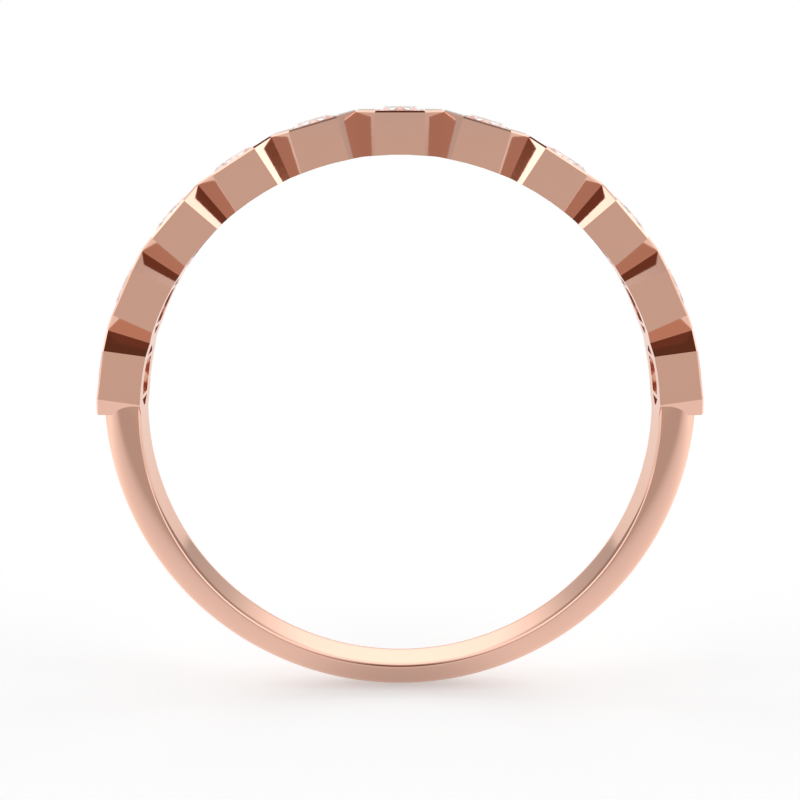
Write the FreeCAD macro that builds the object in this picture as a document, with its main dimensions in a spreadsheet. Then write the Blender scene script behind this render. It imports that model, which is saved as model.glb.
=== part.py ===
import FreeCAD, Part

import math
import os

import Sketcher

# Half-eternity wedding band. Millimetres and degrees, +Z up.
# The origin is the centre of the finger bore, whose axis is Y. The settings span the top half of the ring
# and are numbered from -X to +X. The plain shank closes the ring below them, and its ends fill the corner
# notches of the two end settings.

SIZES = {
    # the finger bore and the row of settings
    "bore_radius": 8.25,
    "setting_count": 11,
    # round brilliant stones, which the settings are sized for
    "stone_diameter": 2.3,
    "table_ratio": 0.57,
    "star_ratio": 0.763,
    "lower_girdle_ratio": 0.25,
    "crown_angle": 34.5,
    "pavilion_angle": 40.8,
    "girdle_thickness": 0.07,
    "stone_rise": 0.10,
    "culet_clearance": 0.05,
    "seat_clearance": 0.01,
    # each setting is a box with four cut corners and a bevelled top
    "face_wall": 0.14,
    "side_wall": 0.18,
    "front_length": 1.56,
    "corner_angle": 41.5,
    "rim_bevel": 0.055,
    # windows cut into the bore under each stone
    "gallery_wall": 0.62,
    "window_margin": 0.22,
    "window_taper": 0.13,
    "window_depth": 0.55,
    "web_thickness": 0.14,
    "end_window_length": 0.25,
    "end_window_tip": 0.24,
    "end_window_depth": 0.3,
    # domed shank, thick and wide at the shoulders, slim at the base
    "shoulder_step": 0.053,
    "shoulder_inset": 0.061,
    "base_thickness": 0.87,
    "base_width": 2.03,
    "shank_edge": 0.1,
    "shank_edge_radius": 0.05,
}

GIRDLE_SIDES = 16
MAIN_FACETS = 8
SHANK_SECTIONS = 13
BORE_ARCS = 4  # the arcs of the full bore's wall
END_LAP = 0.5  # half pitches by which the shank laps an end setting
INSIDE_SHARE = 0.9  # how far inside the bore the blanks reach before the bore is cut
MARGIN = 1.0  # how far a cutting outline runs past the metal
ORIGIN = (-1, 1)
Y_AXIS = FreeCAD.Vector(0, 1, 0)

doc = FreeCAD.newDocument("wedding_band")
sheet = doc.addObject("Spreadsheet::Sheet", "sizes")


def fill_sheet():
    """Writes each driving dimension to its own named cell."""
    for row, (alias, number) in enumerate(SIZES.items(), start=1):
        sheet.set(f"A{row}", alias)
        sheet.set(f"B{row}", str(number))
        sheet.setAlias(f"B{row}", alias)
    doc.recompute()


def size(alias):
    """The number in a named cell."""
    return float(getattr(sheet, alias))


def named(expression):
    """An expression in which each size's name is replaced by its cell."""
    for alias in sorted(SIZES, key=len, reverse=True):
        expression = expression.replace(f"[{alias}]", f"sizes.{alias}")
    return expression


def value(expression):
    """The number that an expression gives now."""
    return float(sheet.evalExpression(named(expression)))


def bind(thing, path, expression):
    thing.setExpression(path, named(expression))


# ---- sketches ----

def origin_feature(body, role):
    return next(item for item in body.Origin.OriginFeatures if item.Role == role)


def new_sketch(body, role, name):
    sketch = body.newObject("Sketcher::SketchObject", name)
    sketch.AttachmentSupport = [(origin_feature(body, role), "")]
    sketch.MapMode = "FlatFace"
    return sketch


def pin_start(sketch, line, corner):
    """Fixes a line's first point by two distances from the origin, each bound to an expression."""
    for kind, expression in zip(("DistanceX", "DistanceY"), corner):
        index = sketch.addConstraint(Sketcher.Constraint(kind, *ORIGIN, line, 1, value(expression)))
        bind(sketch, f"Constraints[{index}]", expression)


def add_outline(sketch, corners):
    """A closed outline of straight lines through corners, which are pairs of expressions."""
    points = [FreeCAD.Vector(value(x), value(y), 0) for x, y in corners]
    first = sketch.GeometryCount
    for start, end in zip(points, points[1:] + points[:1]):
        sketch.addGeometry(Part.LineSegment(start, end), False)
    for step, corner in enumerate(corners):
        following = first + (step + 1) % len(corners)
        sketch.addConstraint(Sketcher.Constraint("Coincident", first + step, 2, following, 1))
        pin_start(sketch, first + step, corner)


def add_round(sketch, radius):
    """A circle about the origin, in equal arcs whose joints are midway between the axes."""
    circle = Part.Circle(FreeCAD.Vector(0, 0, 0), FreeCAD.Vector(0, 0, 1), value(radius))
    span = 2 * math.pi / BORE_ARCS
    starts = [span * (step + 0.5) for step in range(BORE_ARCS)]
    arcs = [sketch.addGeometry(Part.ArcOfCircle(circle, start, start + span), False) for start in starts]
    for arc in arcs:
        sketch.addConstraint(Sketcher.Constraint("Coincident", arc, 3, *ORIGIN))
        sketch.addConstraint(Sketcher.Constraint("Angle", arc, span))
    for arc, following in zip(arcs, arcs[1:]):
        sketch.addConstraint(Sketcher.Constraint("Coincident", arc, 2, following, 1))
    half = 180 / BORE_ARCS
    pin_start(sketch, arcs[0], (f"{radius} * cos({half})", f"{radius} * sin({half})"))


def through_pocket(body, sketch, name):
    pocket = body.newObject("PartDesign::Pocket", name)
    pocket.Profile = sketch
    pocket.SideType = "Symmetric"
    pocket.Type = "ThroughAll"
    return pocket


def cut_bore(body, label):
    sketch = new_sketch(body, "XZ_Plane", f"{label}_bore_sketch")
    add_round(sketch, "[bore_radius]")
    pocket = through_pocket(body, sketch, f"{label}_bore")
    pocket.Refine = False


# ---- settings ----

INSIDE = f"([bore_radius] * {INSIDE_SHARE})"
GIRDLE_RADIUS = "([stone_diameter] / 2)"
SEAT_RADIUS = f"({GIRDLE_RADIUS} + [seat_clearance])"
CROWN_HEIGHT = f"({GIRDLE_RADIUS} * (1 - [table_ratio]) * tan([crown_angle]))"
CULET = "([bore_radius] + [culet_clearance])"
GIRDLE_BASE = f"({CULET} + {GIRDLE_RADIUS} * tan([pavilion_angle]))"
GIRDLE_TOP = f"({GIRDLE_BASE} + [girdle_thickness])"
TABLE_HEIGHT = f"({GIRDLE_TOP} + {CROWN_HEIGHT})"
TOP = f"({TABLE_HEIGHT} - [stone_rise])"
# Neighbouring settings meet on a radial plane that clears each stone's girdle by the side wall.
SLOPE = f"(({SEAT_RADIUS} + [side_wall]) / {GIRDLE_BASE})"
HALF_PITCH = f"atan{SLOPE}"
HALF_WIDTH = f"({SEAT_RADIUS} + [face_wall])"
HALF_FRONT = "([front_length] / 2)"


def setting_blank(body, label):
    """A wedge between two radial planes, as wide as the head."""
    sketch = new_sketch(body, "XZ_Plane", f"{label}_wedge_sketch")
    add_outline(sketch, [
        (f"-{TOP} * {SLOPE}", TOP),
        (f"{TOP} * {SLOPE}", TOP),
        (f"{INSIDE} * {SLOPE}", INSIDE),
        (f"-{INSIDE} * {SLOPE}", INSIDE),
    ])
    pad = body.newObject("PartDesign::Pad", f"{label}_wedge")
    pad.Profile = sketch
    pad.SideType = "Symmetric"
    bind(pad, "Length", f"2 * {HALF_WIDTH}")


def cut_corners(body, label):
    """Four upright corner facets, which start at the front and back faces' ends."""
    far = f"({TOP} * {SLOPE} + {MARGIN})"
    rise = f"{MARGIN} * tan([corner_angle])"
    sketch = new_sketch(body, "XY_Plane", f"{label}_corner_sketch")
    for side in ("", "-"):
        for face in ("", "-"):
            outside = f"{face}({HALF_WIDTH} + {rise})"
            add_outline(sketch, [
                (f"{side}({HALF_FRONT} - {MARGIN})", outside),
                (f"{side}{far}", f"{face}({HALF_WIDTH} - ({far} - {HALF_FRONT}) * tan([corner_angle]))"),
                (f"{side}{far}", outside),
            ])
    through_pocket(body, sketch, f"{label}_corners")


def bevel_rim(body, label):
    """Bevels every edge of the flat top."""
    base = body.Tip
    top = value(TOP)
    rim = [
        f"Edge{index}" for index, edge in enumerate(base.Shape.Edges, start=1)
        if all(math.isclose(vertex.Z, top, abs_tol=1e-6) for vertex in edge.Vertexes)
    ]
    bevel = body.newObject("PartDesign::Chamfer", f"{label}_rim")
    bevel.Base = (base, rim)
    bind(bevel, "Size", "[rim_bevel]")


def cut_seat(body, label):
    """The stone's cavity: a pavilion cone, a girdle groove and metal closed over the crown's edge."""
    bulge = f"([lower_girdle_ratio] * {GIRDLE_RADIUS} * (1 - cos(180 / {MAIN_FACETS})) * tan([pavilion_angle]))"
    cone_base = f"({CULET} - {bulge} - [seat_clearance] / cos([pavilion_angle]))"
    groove_base = f"({cone_base} + {SEAT_RADIUS} * tan([pavilion_angle]))"
    mouth = f"({SEAT_RADIUS} - ({TOP} - {GIRDLE_TOP}) / tan([crown_angle]))"
    sketch = new_sketch(body, "XZ_Plane", f"{label}_seat_sketch")
    add_outline(sketch, [
        ("0", cone_base),
        (SEAT_RADIUS, groove_base),
        (SEAT_RADIUS, GIRDLE_TOP),
        (mouth, TOP),
        (mouth, f"{TOP} + {MARGIN}"),
        ("0", f"{TOP} + {MARGIN}"),
    ])
    groove = body.newObject("PartDesign::Groove", f"{label}_seat")
    groove.Profile = sketch
    groove.ReferenceAxis = (sketch, ["V_Axis"])
    groove.Angle = 360


def upward_pocket(body, sketch, name, top):
    """A pocket from the bore up to a height above the axis."""
    pocket = body.newObject("PartDesign::Pocket", name)
    pocket.Profile = sketch
    pocket.Type = "Length"
    pocket.Reversed = True
    bind(pocket, "Length", top)


def cut_windows(body, label):
    """A six-sided window under the stone, and a small window beyond a web at each end of it."""
    tip = f"([bore_radius] * {SLOPE} - [window_margin])"
    near = f"({tip} - [end_window_length])"
    half_length = f"({near} - [web_thickness])"
    half_width = f"({HALF_WIDTH} - [gallery_wall])"
    half_end = f"({half_width} - [window_taper])"
    sketch = new_sketch(body, "XY_Plane", f"{label}_window_sketch")
    add_outline(sketch, [
        (f"-{half_length}", f"-{half_end}"),
        ("0", f"-{half_width}"),
        (half_length, f"-{half_end}"),
        (half_length, half_end),
        ("0", half_width),
        (f"-{half_length}", half_end),
    ])
    upward_pocket(body, sketch, f"{label}_window", "[bore_radius] + [window_depth]")
    sketch = new_sketch(body, "XY_Plane", f"{label}_end_window_sketch")
    for side in ("", "-"):
        add_outline(sketch, [
            (f"{side}{near}", f"-{half_end}"),
            (f"{side}{tip}", "-[end_window_tip] / 2"),
            (f"{side}{tip}", "[end_window_tip] / 2"),
            (f"{side}{near}", half_end),
        ])
    upward_pocket(body, sketch, f"{label}_end_windows", "[bore_radius] + [end_window_depth]")


def place_around(piece, place):
    """Turns a piece made at the top of the ring to its place in the row, counted from the middle."""
    piece.Placement = FreeCAD.Placement(FreeCAD.Vector(0, 0, 0), FreeCAD.Rotation(Y_AXIS, 1))
    bind(piece, "Placement.Rotation.Angle", f"2 * {HALF_PITCH} * {place}")


def make_setting(label, place):
    body = doc.addObject("PartDesign::Body", label)
    body.Label = label
    setting_blank(body, label)
    cut_corners(body, label)
    cut_bore(body, label)
    doc.recompute()
    bevel_rim(body, label)
    cut_seat(body, label)
    cut_windows(body, label)
    place_around(body, place)
    return body


# ---- stones ----

def ring_point(radius, turn, height):
    """A point at a radius and height, turned about Z by a number of girdle steps."""
    angle = 2 * math.pi * turn / GIRDLE_SIDES
    return FreeCAD.Vector(radius * math.cos(angle), radius * math.sin(angle), height)


def facet(*points):
    return Part.Face(Part.makePolygon([*points, points[0]]))


def brilliant_shape():
    """A round brilliant with its flat facets, standing on its culet at the top of the ring."""
    radius = value(GIRDLE_RADIUS)
    table, girdle_top, girdle_base, culet = map(value, (TABLE_HEIGHT, GIRDLE_TOP, GIRDLE_BASE, CULET))
    table_radius = radius * size("table_ratio")
    star_radius = radius * size("star_ratio")
    lower_radius = radius * size("lower_girdle_ratio")
    lean = math.cos(math.pi / MAIN_FACETS)
    star_height = girdle_top + (radius - star_radius * lean) * math.tan(math.radians(size("crown_angle")))
    lower_height = culet + lower_radius * lean * math.tan(math.radians(size("pavilion_angle")))
    tip = FreeCAD.Vector(0, 0, culet)
    facets = [facet(*[ring_point(table_radius, 2 * step, table) for step in range(MAIN_FACETS)])]
    for main in range(0, GIRDLE_SIDES, 2):
        table_here = ring_point(table_radius, main, table)
        table_next = ring_point(table_radius, main + 2, table)
        star_here = ring_point(star_radius, main + 1, star_height)
        star_before = ring_point(star_radius, main - 1, star_height)
        lower_here = ring_point(lower_radius, main + 1, lower_height)
        lower_before = ring_point(lower_radius, main - 1, lower_height)
        top_before, top_here, top_next = (ring_point(radius, main + step, girdle_top) for step in (-1, 0, 1))
        base_before, base_here, base_next = (ring_point(radius, main + step, girdle_base) for step in (-1, 0, 1))
        facets += [
            facet(table_here, star_here, table_next),
            facet(table_here, star_before, top_here, star_here),
            facet(star_before, top_before, top_here),
            facet(star_here, top_here, top_next),
            facet(top_before, base_before, base_here, top_here),
            facet(top_here, base_here, base_next, top_next),
            facet(lower_before, base_here, base_before),
            facet(lower_here, base_next, base_here),
            facet(tip, lower_before, base_here, lower_here),
        ]
    stone = Part.Solid(Part.Shell(facets))
    if stone.Volume < 0:
        stone.reverse()
    return stone


def make_stone(label, place, shape):
    stone = doc.addObject("Part::Feature", label)
    stone.Label = label
    stone.Shape = shape.copy()
    place_around(stone, place)
    return stone


# ---- shank ----

# The shank runs on past the end settings' outer faces, by a quarter of a setting, to reach their corner notches.
SHANK_REACH = f"(180deg - ([setting_count] - {END_LAP}) * {HALF_PITCH})"
SHOULDER_THICKNESS = f"({TOP} - [bore_radius] - [shoulder_step])"
SHOULDER_HALF_WIDTH = f"({HALF_WIDTH} - [shoulder_inset])"


def shank_section(body, step):
    """A D-shaped section: a flat inside, two short upright edges and a round crown."""
    turn = f"({SHANK_REACH} * {2 * step / (SHANK_SECTIONS - 1) - 1})"
    taper = f"((1 - cos({turn})) / (1 - cos({SHANK_REACH})))"
    thickness = f"([base_thickness] + ({SHOULDER_THICKNESS} - [base_thickness]) * {taper})"
    half_width = f"([base_width] / 2 + ({SHOULDER_HALF_WIDTH} - [base_width] / 2) * {taper})"
    edge = "([bore_radius] + [shank_edge])"
    crown = f"({thickness} - [shank_edge])"
    dome = f"(({half_width} ^ 2 + {crown} ^ 2) / (2 * {crown}))"
    sketch = new_sketch(body, "YZ_Plane", f"shank_section_{step:02d}")
    sketch.AttachmentOffset = FreeCAD.Placement(
        FreeCAD.Vector(0, 0, 0), FreeCAD.Rotation(FreeCAD.Vector(1, 0, 0), 1))
    bind(sketch, "AttachmentOffset.Rotation.Angle", turn)
    corners = [
        (f"-{half_width}", f"-{edge}"),
        (f"-{half_width}", f"-{INSIDE}"),
        (half_width, f"-{INSIDE}"),
        (half_width, f"-{edge}"),
    ]
    points = [FreeCAD.Vector(value(x), value(y), 0) for x, y in corners]
    for start, end in zip(points, points[1:]):
        sketch.addGeometry(Part.LineSegment(start, end), False)
    crest = FreeCAD.Vector(0, -value(f"[bore_radius] + {thickness}"), 0)
    arc = sketch.addGeometry(Part.Arc(points[0], crest, points[-1]), False)
    last = len(points) - 2
    for line in range(last):
        sketch.addConstraint(Sketcher.Constraint("Coincident", line, 2, line + 1, 1))
    for line, corner in enumerate(corners[:-1]):
        pin_start(sketch, line, corner)
    for kind, expression in zip(("DistanceX", "DistanceY"), corners[-1]):
        index = sketch.addConstraint(Sketcher.Constraint(kind, *ORIGIN, last, 2, value(expression)))
        bind(sketch, f"Constraints[{index}]", expression)
    sketch.addConstraint(Sketcher.Constraint("Coincident", arc, 1, 0, 1))
    sketch.addConstraint(Sketcher.Constraint("Coincident", arc, 2, last, 2))
    index = sketch.addConstraint(Sketcher.Constraint("Radius", arc, value(dome)))
    bind(sketch, f"Constraints[{index}]", dome)
    return sketch


def round_bore_edges(body):
    """Rounds the two long edges where the bore meets the shank's sides."""
    base = body.Tip
    bore = size("bore_radius")
    long_edges = [
        f"Edge{index}" for index, edge in enumerate(base.Shape.Edges, start=1)
        if edge.Length > bore / 2 and all(
            math.isclose(math.hypot(point.x, point.z), bore, abs_tol=1e-4) for point in edge.discretize(5))
    ]
    rounding = body.newObject("PartDesign::Fillet", "shank_bore_edges")
    rounding.Base = (base, long_edges)
    rounding.Refine = False
    bind(rounding, "Radius", "[shank_edge_radius]")


def end_envelope(label, place):
    """The plain wedge with cut corners that an end setting fills."""
    body = doc.addObject("PartDesign::Body", label)
    setting_blank(body, label)
    cut_corners(body, label)
    place_around(body, place)
    return body


def make_shank(last_place):
    """The lofted shank, whose ends fill the corner notches of the two end settings."""
    body = doc.addObject("PartDesign::Body", "shank_body")
    sections = [shank_section(body, step) for step in range(SHANK_SECTIONS)]
    loft = body.newObject("PartDesign::AdditiveLoft", "shank_loft")
    loft.Profile = sections[0]
    loft.Sections = sections[1:]
    cut_bore(body, "shank")
    doc.recompute()
    round_bore_edges(body)
    ends = doc.addObject("Part::Compound", "end_envelopes")
    ends.Links = [end_envelope("left_envelope", -last_place), end_envelope("right_envelope", last_place)]
    shank = doc.addObject("Part::Cut", "shank")
    shank.Label = "shank"
    shank.Base = body
    shank.Tool = ends
    return shank


# ---- the whole ring ----

def check(pieces):
    for item in doc.Objects:
        if "Invalid" in item.State or "Error" in item.State:
            raise RuntimeError(f"{item.Name} failed: {item.State}")
    for piece in pieces:
        if piece.Shape.isNull() or not piece.Shape.isValid():
            raise RuntimeError(f"{piece.Label} has no valid shape")
        if len(piece.Shape.Solids) != 1:
            raise RuntimeError(f"{piece.Label} isn't one solid")


def export(pieces):
    os.makedirs("parts", exist_ok=True)
    for piece in pieces:
        piece.Shape.exportStep(f"parts/{piece.Label}.step")


fill_sheet()
count = int(size("setting_count"))
pieces = [make_shank((count - 1) / 2)]
brilliant = brilliant_shape()
for number in range(1, count + 1):
    place = number - (count + 1) / 2
    pieces.append(make_setting(f"setting_{number:02d}", place))
    pieces.append(make_stone(f"diamond_{number:02d}", place, brilliant))
doc.recompute()
check(pieces)
export(pieces)
for piece in pieces:
    box = piece.Shape.BoundBox
    print(f"{piece.Label}: {piece.Shape.Volume:.4f} mm3, x {box.XMin:.2f} to {box.XMax:.2f}, "
          f"z {box.ZMin:.2f} to {box.ZMax:.2f}")
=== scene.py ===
import math

import bmesh
import bpy
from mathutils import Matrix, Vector


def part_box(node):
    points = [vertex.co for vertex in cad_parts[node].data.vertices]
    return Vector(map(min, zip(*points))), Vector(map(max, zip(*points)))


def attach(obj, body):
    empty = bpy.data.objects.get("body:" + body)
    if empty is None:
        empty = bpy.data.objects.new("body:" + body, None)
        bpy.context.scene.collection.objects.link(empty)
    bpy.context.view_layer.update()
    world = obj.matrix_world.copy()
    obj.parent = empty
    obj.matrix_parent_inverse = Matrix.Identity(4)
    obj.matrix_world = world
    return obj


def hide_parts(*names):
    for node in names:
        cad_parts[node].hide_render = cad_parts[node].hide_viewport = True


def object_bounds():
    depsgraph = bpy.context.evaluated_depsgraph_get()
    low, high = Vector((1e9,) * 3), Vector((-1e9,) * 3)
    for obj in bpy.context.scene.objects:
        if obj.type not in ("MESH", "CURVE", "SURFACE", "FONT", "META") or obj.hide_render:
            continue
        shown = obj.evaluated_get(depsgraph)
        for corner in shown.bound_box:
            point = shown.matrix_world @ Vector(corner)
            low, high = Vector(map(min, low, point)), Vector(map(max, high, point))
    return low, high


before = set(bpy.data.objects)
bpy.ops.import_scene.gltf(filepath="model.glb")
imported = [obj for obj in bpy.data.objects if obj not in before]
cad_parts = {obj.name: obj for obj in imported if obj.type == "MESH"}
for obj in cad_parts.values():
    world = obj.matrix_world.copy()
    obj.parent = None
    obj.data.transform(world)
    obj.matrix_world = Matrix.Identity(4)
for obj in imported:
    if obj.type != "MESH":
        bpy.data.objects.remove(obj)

CAD_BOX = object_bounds()
MM = 0.001
WHITE = (1, 1, 1, 1)

# ---- camera ----
CAM_DISTANCE = 66.3 * MM
CAM_ELEVATION = math.radians(9.47)
CAM_TARGET_Z = 0.314 * MM
CAM_NEAR = 1 * MM
CAM_FAR = 10.0
FOCAL_PIXELS = 2052.6
SENSOR = 36.0
PICTURE = 800

cam_data = bpy.data.cameras.new("camera")
cam_data.sensor_width = SENSOR
cam_data.lens = FOCAL_PIXELS / PICTURE * SENSOR
cam_data.clip_start = CAM_NEAR
cam_data.clip_end = CAM_FAR
cam = bpy.data.objects.new("camera", cam_data)
bpy.context.scene.collection.objects.link(cam)
back = Vector((0, -math.cos(CAM_ELEVATION), math.sin(CAM_ELEVATION)))
cam.location = Vector((0, 0, CAM_TARGET_Z)) + CAM_DISTANCE * back
cam.rotation_mode = "QUATERNION"
cam.rotation_quaternion = (-back).to_track_quat("-Z", "Y")
bpy.context.scene.camera = cam
bpy.context.scene.view_settings.view_transform = "Standard"


# ---- node helpers ----
def new_material(name):
    """An empty material's node tree and its output's surface socket."""
    mat = bpy.data.materials.new(name)
    mat.use_nodes = True
    tree = mat.node_tree
    tree.nodes.clear()
    return mat, tree, tree.nodes.new("ShaderNodeOutputMaterial").inputs["Surface"]


def node(tree, kind, **values):
    """A node whose sockets and properties are set by name."""
    made = tree.nodes.new(kind)
    for key, val in values.items():
        if key in made.inputs:
            made.inputs[key].default_value = val
        else:
            setattr(made, key, val)
    return made


def noise(tree, place, scale, detail):
    made = node(tree, "ShaderNodeTexNoise", Scale=scale, Detail=detail)
    tree.links.new(place, made.inputs["Vector"])
    return made.outputs["Fac"]


def map_range(tree, source, before=(0.0, 1.0), after=(0.0, 1.0), **values):
    made = node(tree, "ShaderNodeMapRange", **values)
    for end, (old, new) in zip(("Min", "Max"), zip(before, after)):
        made.inputs[f"From {end}"].default_value = old
        made.inputs[f"To {end}"].default_value = new
    tree.links.new(source, made.inputs["Value"])
    return made.outputs["Result"]


def mix_colours(tree, factor, a, b):
    """A blend of two colours, each a constant or a socket."""
    made = node(tree, "ShaderNodeMix", data_type="RGBA")
    tree.links.new(factor, made.inputs["Factor"])
    for key, item in (("A", a), ("B", b)):
        if isinstance(item, tuple):
            made.inputs[key].default_value = item
        else:
            tree.links.new(item, made.inputs[key])
    return made.outputs["Result"]


def bump(tree, height, strength, distance):
    made = node(tree, "ShaderNodeBump", Strength=strength, Distance=distance)
    tree.links.new(height, made.inputs["Height"])
    return made.outputs["Normal"]


def colour_ramp(tree, source, stops):
    """A ramp through (position, colour) stops."""
    ramp = tree.nodes.new("ShaderNodeValToRGB")
    elements = ramp.color_ramp.elements
    while len(elements) < len(stops):
        elements.new(0.5)
    for element, (position, colour) in zip(elements, stops):
        element.position = position
        element.color = colour
    tree.links.new(source, ramp.inputs["Fac"])
    return ramp.outputs["Color"]


def shade(level, tint):
    return tuple(level * part for part in tint) + (1,)


# ---- rose gold ----
GOLD_TONES = ((0.815, 0.508, 0.402, 1), (0.835, 0.525, 0.418, 1))
GOLD_EDGE_TINT = (1.0, 0.88, 0.81, 1)
# painted light: the gold glows faintly red, which lifts the deep pockets that would otherwise be near black
GOLD_PAINTED_GLOW = (1.0, 0.35, 0.20, 1)
GOLD_PAINTED_GLOW_STRENGTH = 0.04
MARK_SCALE = (9000.0, 900.0, 9000.0)  # polishing marks run along the finger
MARK_ROUGHNESS = 0.02
MARK_BUMP = (0.03, 0.02 * MM)
WEAR_SPREAD = (0.35, 0.75)
WEAR_ROUGHNESS = (0.06, 0.11)  # worn patches are a little rougher


def rose_gold(name):
    mat, tree, surface = new_material(name)
    bsdf = node(tree, "ShaderNodeBsdfPrincipled", Metallic=1.0)
    tree.links.new(bsdf.outputs["BSDF"], surface)
    bsdf.inputs["Specular Tint"].default_value = GOLD_EDGE_TINT
    # painted light: a faint red emission on the gold, lifting its darkest pockets
    bsdf.inputs["Emission Color"].default_value = GOLD_PAINTED_GLOW
    bsdf.inputs["Emission Strength"].default_value = GOLD_PAINTED_GLOW_STRENGTH
    place = node(tree, "ShaderNodeTexCoord").outputs["Object"]
    cloud = noise(tree, place, 260.0, 3.0)
    tree.links.new(mix_colours(tree, cloud, *GOLD_TONES), bsdf.inputs["Base Color"])
    stretch = node(tree, "ShaderNodeMapping", Scale=MARK_SCALE)
    tree.links.new(place, stretch.inputs["Vector"])
    marks = noise(tree, stretch.outputs["Vector"], 1.0, 2.0)
    wear = map_range(tree, noise(tree, place, 700.0, 4.0), WEAR_SPREAD, WEAR_ROUGHNESS)
    rough = node(tree, "ShaderNodeMath", operation="MULTIPLY_ADD")
    rough.inputs[1].default_value = MARK_ROUGHNESS
    tree.links.new(marks, rough.inputs[0])
    tree.links.new(wear, rough.inputs[2])
    tree.links.new(rough.outputs[0], bsdf.inputs["Roughness"])
    tree.links.new(bump(tree, marks, *MARK_BUMP), bsdf.inputs["Normal"])
    return mat


# ---- diamond ----
DIAMOND_IOR = 2.417
# painted light: the stones glow faintly white so that they read bright; the glow strength varies at random with the
# same noise that sets the roughness
DIAMOND_PAINTED_GLOW = (0.97, 0.98, 1.0, 1)
DIAMOND_SPREADS = (("Roughness", (0.0, 0.02)), ("Emission Strength", (0.08, 0.16)))


def diamond(name):
    mat, tree, surface = new_material(name)
    bsdf = node(tree, "ShaderNodeBsdfPrincipled", IOR=DIAMOND_IOR)
    tree.links.new(bsdf.outputs["BSDF"], surface)
    bsdf.inputs["Base Color"].default_value = WHITE
    bsdf.inputs["Transmission Weight"].default_value = 1.0
    bsdf.inputs["Emission Color"].default_value = DIAMOND_PAINTED_GLOW
    place = node(tree, "ShaderNodeTexCoord").outputs["Object"]
    # one noise sets both a random haze in the roughness and the strength of the painted glow
    haze_and_painted_glow = noise(tree, place, 900.0, 3.0)
    for socket, after in DIAMOND_SPREADS:
        tree.links.new(map_range(tree, haze_and_painted_glow, after=after), bsdf.inputs[socket])
    return mat


GOLD = rose_gold("rose_gold_polished")
STONE = diamond("diamond_clear")
SOFT_EDGE = 0.022 * MM
SOFT_EDGE_ANGLE = math.radians(35)

for name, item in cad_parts.items():
    item.data.materials.clear()
    item.data.materials.append(STONE if name.startswith("diamond") else GOLD)
    if name.startswith("setting"):
        soften = item.modifiers.new("soft edges", "BEVEL")
        soften.width = SOFT_EDGE
        soften.segments = 2
        soften.limit_method = "ANGLE"
        soften.angle_limit = SOFT_EDGE_ANGLE
        soften.use_clamp_overlap = False
        soften.harden_normals = True


# ---- shank: sizes in mm, angles in degrees ----
BORE = 8.25
TOP_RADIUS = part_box("setting_06")[1].z / MM
HALF_PITCH = 8.2057
REACH = 180 - 10.5 * HALF_PITCH
BASE_T, SHOULDER_T = 0.87, 1.297
BASE_W, SHOULDER_W = 1.015, 1.239
EDGE = 0.1
ROUND_ACROSS = 0.38
ROUND_UP = 0.065
DOME_STEPS = 48
ROUND_STEPS = 16
FLAT_STEPS = 8
RINGS = 240
SHARP = math.radians(32)

# the end settings, which the shank's ends are cut by
END_PLACES = (-5, 5)
HALF_WIDTH = 1.30
HALF_FRONT = 0.78
CORNER = math.tan(math.radians(41.5))
CUT_INSIDE = 1.0
CUT_OUTSIDE = 0.05


def section(turn):
    """Points (y, r) of the shank's outline at an angle from the bottom, in mm."""
    taper = (1 - math.cos(turn)) / (1 - math.cos(math.radians(REACH)))
    thickness = BASE_T + (SHOULDER_T - BASE_T) * taper
    half_width = BASE_W + (SHOULDER_W - BASE_W) * taper
    crown = thickness - EDGE
    radius = (half_width * half_width + crown * crown) / (2 * crown)
    centre = BORE + thickness - radius
    half = math.asin(half_width / radius)
    dome = []
    for step in range(DOME_STEPS + 1):
        angle = -half + 2 * half * step / DOME_STEPS
        dome.append((radius * math.sin(angle), centre + radius * math.cos(angle)))
    right = []
    for step in range(ROUND_STEPS + 1):
        angle = math.pi / 2 * step / ROUND_STEPS
        right.append((half_width - ROUND_ACROSS * (1 - math.cos(angle)), BORE + ROUND_UP * (1 - math.sin(angle))))
    left = [(-y, r) for y, r in reversed(right)]
    reach = half_width - ROUND_ACROSS
    flat = [(reach - 2 * reach * step / FLAT_STEPS, BORE) for step in range(1, FLAT_STEPS)]
    return dome + right + flat + left


def envelope(place):
    """The wedge with cut corners that an end setting fills, as an object."""
    slope = math.tan(math.radians(HALF_PITCH))
    angle = math.radians(2 * HALF_PITCH * place)
    verts = []
    for r in (BORE - CUT_INSIDE, TOP_RADIUS + CUT_OUTSIDE):
        x = r * slope
        y = HALF_WIDTH - (x - HALF_FRONT) * CORNER
        for px, py in ((-x, -y), (-HALF_FRONT, -HALF_WIDTH), (HALF_FRONT, -HALF_WIDTH), (x, -y),
                       (x, y), (HALF_FRONT, HALF_WIDTH), (-HALF_FRONT, HALF_WIDTH), (-x, y)):
            verts.append(((px * math.cos(angle) + r * math.sin(angle)) * MM, py * MM,
                          (r * math.cos(angle) - px * math.sin(angle)) * MM))
    faces = [tuple(reversed(range(8))), tuple(range(8, 16))]
    faces += [(i, (i + 1) % 8, 8 + (i + 1) % 8, 8 + i) for i in range(8)]
    return new_object("envelope", new_mesh("envelope", verts, faces))


def new_mesh(name, verts, faces):
    mesh = bpy.data.meshes.new(name)
    mesh.from_pydata(verts, [], faces)
    mesh.update()
    return mesh


def new_object(name, mesh):
    made = bpy.data.objects.new(name, mesh)
    bpy.context.scene.collection.objects.link(made)
    return made


def cut_by_envelopes(piece):
    """The piece's mesh without the room that the end settings fill."""
    tools = [envelope(place) for place in END_PLACES]
    for tool in tools:
        cut = piece.modifiers.new("cut", "BOOLEAN")
        cut.operation = "DIFFERENCE"
        cut.solver = "EXACT"
        cut.object = tool
    mesh = bpy.data.meshes.new_from_object(piece.evaluated_get(bpy.context.evaluated_depsgraph_get()))
    for tool in tools:
        bpy.data.objects.remove(tool)
    return mesh


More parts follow.
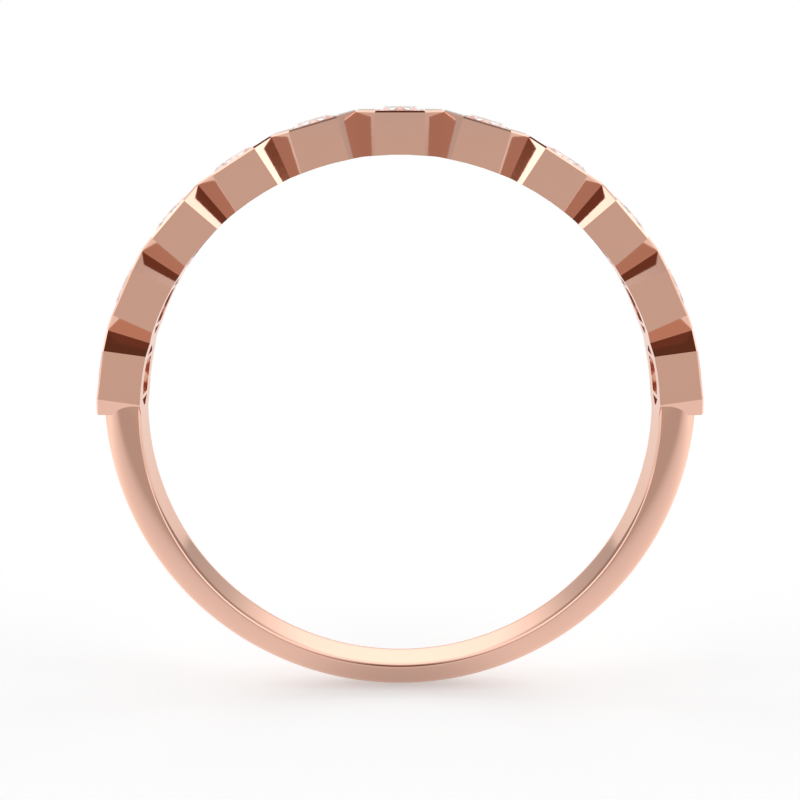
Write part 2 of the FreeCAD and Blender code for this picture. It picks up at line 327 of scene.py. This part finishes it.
def swept_shank():
    """A closed mesh through the shank's outlines, from one end setting to the other."""
    reach = math.radians(REACH)
    turns = [-reach + 2 * reach * ring / RINGS for ring in range(RINGS + 1)]
    verts = [(r * math.sin(turn) * MM, y * MM, -r * math.cos(turn) * MM)
             for turn in turns for y, r in section(turn)]
    count = len(section(0))
    faces = []
    for start in range(0, RINGS * count, count):
        for i in range(count):
            j = (i + 1) % count
            faces.append((start + i, start + j, start + count + j, start + count + i))
    faces.append(tuple(reversed(range(count))))
    faces.append(tuple(RINGS * count + i for i in range(count)))
    mesh = new_mesh("shank_skin", verts, faces)
    bm = bmesh.new()
    bm.from_mesh(mesh)
    bmesh.ops.recalc_face_normals(bm, faces=bm.faces)
    bm.to_mesh(mesh)
    bm.free()
    for face in mesh.polygons:
        face.use_smooth = True
    return mesh


def build_shank():
    whole = new_object("shank_skin", swept_shank())
    mesh = cut_by_envelopes(whole)
    bpy.data.objects.remove(whole)
    mesh.set_sharp_from_angle(angle=SHARP)
    mesh.name = "shank_skin"
    piece = new_object("shank_skin", mesh)
    piece.data.materials.append(GOLD)
    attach(piece, "root")
    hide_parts("shank")


build_shank()

# ---- floor: white paper, with a painted reflection and a painted contact shadow that only the metal sees ----
FLOOR_SPAN = 0.6
PAPER_TONES = ((0.77, 0.77, 0.77, 1), (0.79, 0.79, 0.79, 1))
PAPER_BUMP = (0.05, 0.05 * MM)
PAPER_GLOW = (0.94, 1.0, 1.02, 1)
PAPER_GLOW_STRENGTH = 0.36
# painted reflection: what the floor shows in the metal, (y, brightness), warm in front of the ring
PAINTED_REFLECTION_PROFILE = ((-0.10, 0.63), (-0.055, 0.63), (-0.035, 0.51), (-0.015, 0.51), (-0.006, 0.80), (0.004, 1.0),
             (0.015, 1.2), (0.03, 1.15), (0.05, 0.90), (0.10, 0.88))
PAINTED_REFLECTION_SPAN = 0.10
WARM = (1.0, 0.95, 0.89)
WARM_FROM = -0.01
NEUTRAL = (1, 1, 1)
# painted contact shadow: the floor seen in the metal darkens towards the point under the ring
PAINTED_SHADOW_SPREAD = (0.0005, 0.005)
PAINTED_SHADOW_LEVELS = (0.6, 1.0)


def white_paper(name):
    """A floor that the camera sees as paper, and that polished metal sees as a painted reflection with a painted
    contact shadow.
    """
    mat, tree, surface = new_material(name)
    place = node(tree, "ShaderNodeTexCoord").outputs["Object"]
    split = node(tree, "ShaderNodeSeparateXYZ")
    tree.links.new(place, split.inputs[0])
    along = map_range(tree, split.outputs["Y"], (-PAINTED_REFLECTION_SPAN, PAINTED_REFLECTION_SPAN))
    stops = [((y + PAINTED_REFLECTION_SPAN) / (2 * PAINTED_REFLECTION_SPAN), shade(level, WARM if y < WARM_FROM else NEUTRAL))
             for y, level in PAINTED_REFLECTION_PROFILE]
    # painted reflection: an emission that only glossy rays see, darkened near the ring by the painted contact shadow
    painted_reflection = node(tree, "ShaderNodeEmission")
    tree.links.new(colour_ramp(tree, along, stops), painted_reflection.inputs["Color"])
    ground = node(tree, "ShaderNodeCombineXYZ")
    tree.links.new(split.outputs["X"], ground.inputs["X"])
    tree.links.new(split.outputs["Y"], ground.inputs["Y"])
    away = node(tree, "ShaderNodeVectorMath", operation="LENGTH")
    tree.links.new(ground.outputs[0], away.inputs[0])
    painted_shadow = map_range(tree, away.outputs["Value"], PAINTED_SHADOW_SPREAD, PAINTED_SHADOW_LEVELS, interpolation_type="SMOOTHSTEP")
    tree.links.new(painted_shadow, painted_reflection.inputs["Strength"])
    grain = noise(tree, place, 2500.0, 4.0)
    paper = node(tree, "ShaderNodeBsdfDiffuse")
    tree.links.new(mix_colours(tree, grain, *PAPER_TONES), paper.inputs["Color"])
    tree.links.new(bump(tree, grain, *PAPER_BUMP), paper.inputs["Normal"])
    glow = node(tree, "ShaderNodeEmission", Color=PAPER_GLOW, Strength=PAPER_GLOW_STRENGTH)
    seen = node(tree, "ShaderNodeAddShader")
    tree.links.new(paper.outputs[0], seen.inputs[0])
    tree.links.new(glow.outputs[0], seen.inputs[1])
    either = node(tree, "ShaderNodeMixShader")
    tree.links.new(node(tree, "ShaderNodeLightPath").outputs["Is Glossy Ray"], either.inputs["Fac"])
    tree.links.new(seen.outputs[0], either.inputs[1])
    tree.links.new(painted_reflection.outputs[0], either.inputs[2])
    tree.links.new(either.outputs[0], surface)
    return mat


floor_z = CAD_BOX[0].z
floor_corners = [(x * FLOOR_SPAN, y * FLOOR_SPAN, floor_z) for x, y in ((-1, -1), (1, -1), (1, 1), (-1, 1))]
floor = new_object("floor", new_mesh("floor", floor_corners, [(0, 1, 2, 3)]))
floor.data.materials.append(white_paper("floor_white"))

# ---- world: a white tent, brightest at the sides, dark overhead and behind the camera ----
# (degrees from the front, brightness by sine of the elevation)
SKY = (
    (15, ((-1.0, 0.6), (-0.17, 0.6), (0.0, 0.58), (0.05, 0.50), (0.16, 0.44), (0.26, 0.46), (0.325, 0.42),
          (0.345, 0.12), (1.0, 0.10))),
    (80, ((-1.0, 0.65), (0.0, 0.55), (0.1, 0.46), (0.27, 0.48), (0.38, 1.4), (0.5, 2.1), (0.74, 2.1), (0.89, 1.3),
          (0.95, 0.2), (1.0, 0.10))),
    (97, ((-1.0, 0.9), (0.0, 1.1), (0.1, 1.25), (0.3, 1.3), (0.5, 1.8), (0.74, 1.6), (0.87, 1.0), (0.95, 0.15),
          (1.0, 0.10))),
    (135, ((-1.0, 1.2), (0.0, 1.3), (0.5, 1.4), (0.74, 1.3), (0.87, 0.9), (0.95, 0.15), (1.0, 0.10))),
    (147, ((-1.0, 0.9), (0.0, 0.28), (0.36, 0.28), (0.5, 1.2), (0.74, 1.2), (0.87, 0.6), (0.95, 0.15), (1.0, 0.10))),
    (158, ((-1.0, 0.9), (0.0, 0.30), (0.10, 0.30), (0.36, 0.45), (0.5, 1.2), (0.74, 1.2), (0.87, 0.6), (0.95, 0.15),
           (1.0, 0.10))),
    (170, ((-1.0, 0.9), (-0.02, 0.85), (0.0, 0.60), (0.1, 0.80), (0.17, 1.3), (0.3, 1.6), (0.55, 1.3), (0.75, 0.35),
           (0.9, 0.12), (1.0, 0.10))),
)
DARK = 0.16  # below this brightness the sky is warm
DUSK = (0.75, 0.22, 0.10)


def math_of(tree, operation, a, b):
    """A sum on two inputs, each a number or a socket."""
    made = node(tree, "ShaderNodeMath", operation=operation)
    for slot, item in enumerate((a, b)):
        if isinstance(item, (int, float)):
            made.inputs[slot].default_value = item
        else:
            tree.links.new(item, made.inputs[slot])
    return made.outputs[0]


def sky_colour(tree):
    """The tent's colour, blended round from the front to the back and the same on both sides."""
    sep = node(tree, "ShaderNodeSeparateXYZ")
    tree.links.new(node(tree, "ShaderNodeTexCoord").outputs["Generated"], sep.inputs[0])
    x, y, z = sep.outputs
    height = math_of(tree, "MULTIPLY_ADD", z, 0.5)
    height.node.inputs[2].default_value = 0.5
    turn = math_of(tree, "ARCTAN2", math_of(tree, "ABSOLUTE", x, 0), math_of(tree, "MULTIPLY", y, -1.0))
    turn = math_of(tree, "DIVIDE", turn, math.pi / 180)
    ramps = []
    for degrees, levels in SKY:
        stops = [((sine + 1) / 2, shade(level, DUSK if level < DARK else NEUTRAL)) for sine, level in levels]
        ramps.append((degrees, colour_ramp(tree, height, stops)))
    before, colour = ramps[0]
    for after, ramp in ramps[1:]:
        colour = mix_colours(tree, map_range(tree, turn, (before, after)), colour, ramp)
        before = after
    return colour


world = bpy.data.worlds.new("studio")
world.use_nodes = True
bpy.context.scene.world = world
wt = world.node_tree
wt.nodes.clear()
light = node(wt, "ShaderNodeBackground")
wt.links.new(sky_colour(wt), light.inputs["Color"])
white = node(wt, "ShaderNodeBackground", Color=WHITE)
mix = node(wt, "ShaderNodeMixShader")
wt.links.new(node(wt, "ShaderNodeLightPath").outputs["Is Camera Ray"], mix.inputs["Fac"])
wt.links.new(light.outputs[0], mix.inputs[1])
wt.links.new(white.outputs[0], mix.inputs[2])
wt.links.new(mix.outputs[0], node(wt, "ShaderNodeOutputWorld").inputs["Surface"])
